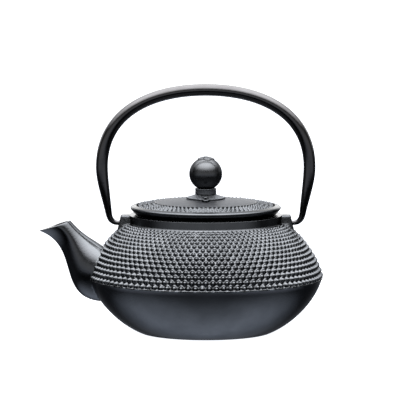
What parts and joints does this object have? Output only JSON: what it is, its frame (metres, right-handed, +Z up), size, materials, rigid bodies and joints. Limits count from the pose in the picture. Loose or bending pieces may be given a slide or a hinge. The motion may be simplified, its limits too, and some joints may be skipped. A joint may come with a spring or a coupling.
{
  "type": "cast iron teapot",
  "caption": "Low round iron teapot with a studded shoulder, short horn spout, upright bail handle, lift-off lid with ball knob, and a steel mesh infuser.",
  "frame": {"origin": "centre of the flat base, on the pot's axis, at the surface that the pot stands on", "axes": "+Z up along the pot's axis, -X towards the spout's lip, X also the axis that the bail swings about, Y front to back with the lid's vent on the -Y side"},
  "size_m": [0.1684, 0.1398, 0.147],
  "materials": {
    "black_iron": "satin black paint over fine sand-cast texture, black enamel inside",
    "bail_iron": "smooth satin black paint",
    "knob_iron": "smooth satin black paint",
    "steel": "pressed stainless steel",
    "steel_mesh": "fine woven stainless wire"
  },
  "bodies": {
    "pot": {"pot_body": "black_iron"},
    "bail": {"bail_handle": "bail_iron"},
    "lid": {"lid": "black_iron", "knob_seat_plate": "black_iron", "knob_collar": "black_iron", "lid_knob": "knob_iron", "knob_washer": "steel", "knob_screw": "steel"},
    "infuser": {"infuser_rim": "steel", "infuser_wall": "steel_mesh", "infuser_base_ring": "steel", "infuser_base_mesh": "steel_mesh"}
  },
  "joints": [
    {"name": "bail_swing", "type": "hinge", "parent": "pot", "child": "bail", "pos_m": [0, 0, 0.0648], "axis": [1, 0, 0], "range_deg": [-110, 110]},
    {"name": "lid_lift", "type": "slide", "parent": "pot", "child": "lid", "axis": [0, 0, 1], "range_m": [0, 0.034]},
    {"name": "infuser_lift", "type": "slide", "parent": "pot", "child": "infuser", "axis": [0, 0, 1], "range_m": [0, 0.017]}
  ],
  "couplings": [
    {"joint": "infuser_lift", "follows": "lid_lift", "ratio": 0.5}
  ]
}
